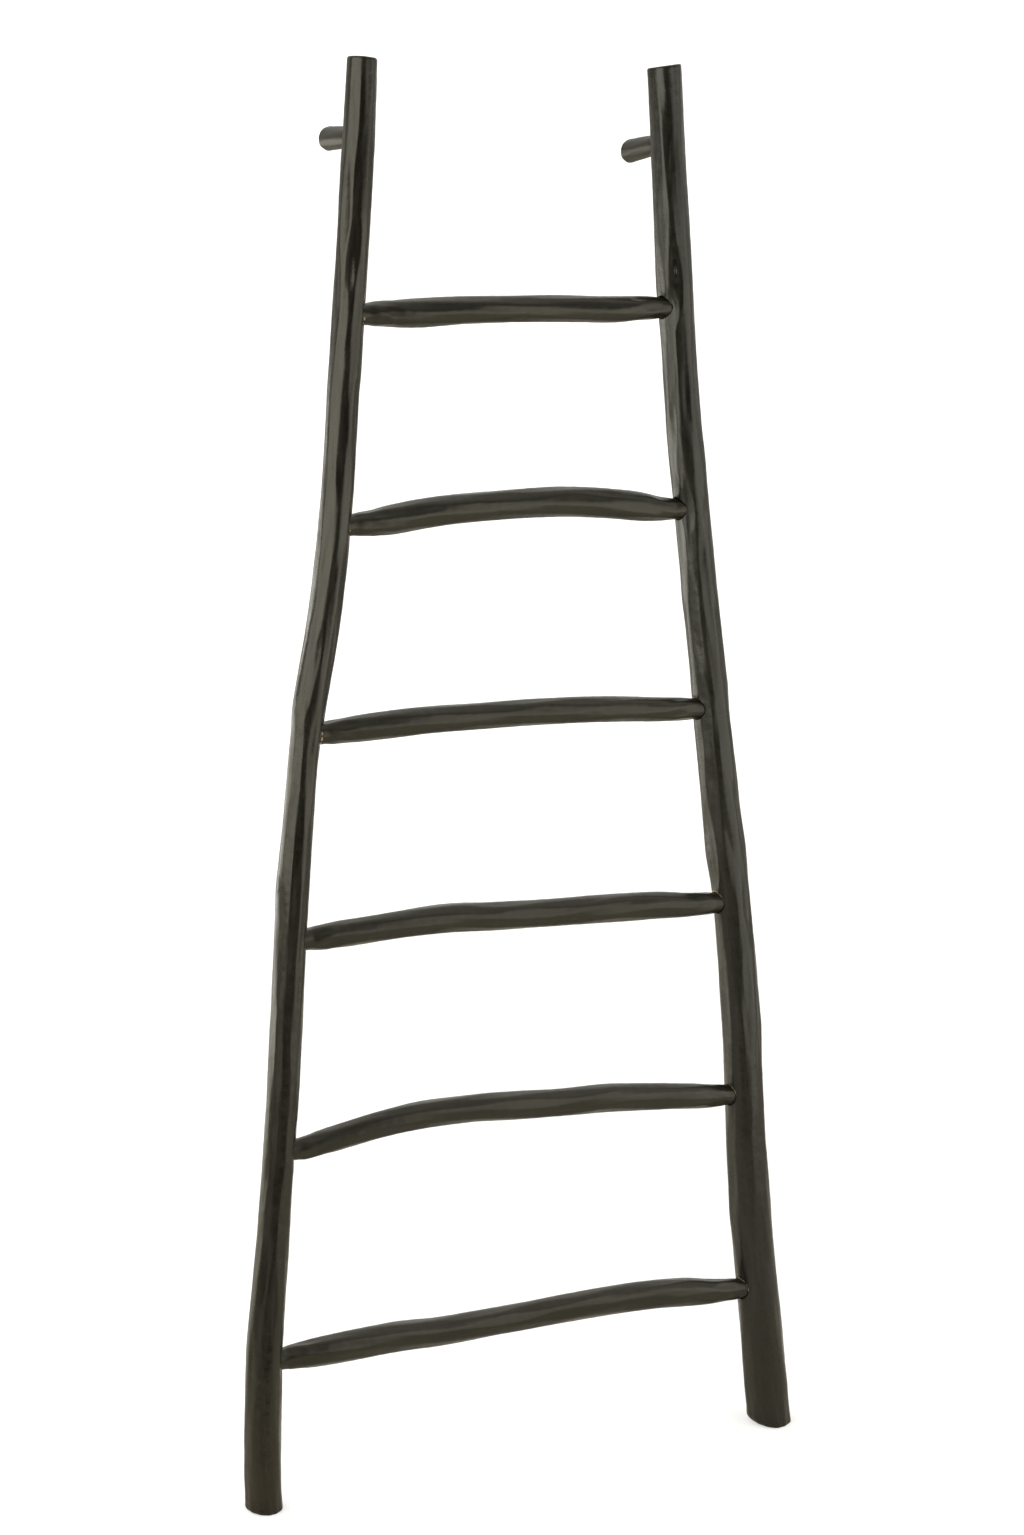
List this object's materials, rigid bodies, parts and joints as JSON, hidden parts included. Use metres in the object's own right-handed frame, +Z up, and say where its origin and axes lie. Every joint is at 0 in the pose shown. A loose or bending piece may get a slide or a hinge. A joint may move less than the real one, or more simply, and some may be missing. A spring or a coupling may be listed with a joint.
{
  "type": "rustic leaning ladder",
  "caption": "Tapering decorative ladder of hand-shaved crooked branches: bowed rungs socketed into two splayed poles, with short pegs behind the tips that rest on a wall.",
  "frame": {"origin": "on the floor, below the middle of the ladder's outer box, so halfway between the feet and halfway from the toes to the wall", "axes": "+Z up from the floor, -Y the way the climbed face looks, +Y into the wall that the pegs rest on, +X to the right as seen from the front. The ladder leans 9 degrees from the upright, its tips towards +Y."},
  "size_m": [0.8384, 0.4105, 1.884],
  "materials": {
    "pole_wood": "near-black stain under satin lacquer over drawknife flats",
    "rung_wood": "near-black stain under satin lacquer over drawknife flats",
    "peg_wood": "near-black stain under satin lacquer",
    "nail_steel": "blackened"
  },
  "bodies": {
    "root": {"left_pole": "pole_wood", "right_pole": "pole_wood", "rung_1": "rung_wood", "rung_2": "rung_wood", "rung_3": "rung_wood", "rung_4": "rung_wood", "rung_5": "rung_wood", "rung_6": "rung_wood", "left_wall_peg": "peg_wood", "right_wall_peg": "peg_wood", "left_nail_1": "nail_steel", "left_nail_2": "nail_steel", "left_nail_3": "nail_steel", "left_nail_4": "nail_steel", "left_nail_5": "nail_steel", "left_nail_6": "nail_steel", "right_nail_1": "nail_steel", "right_nail_2": "nail_steel", "right_nail_3": "nail_steel", "right_nail_4": "nail_steel", "right_nail_5": "nail_steel", "right_nail_6": "nail_steel"}
  },
  "joints": []
}
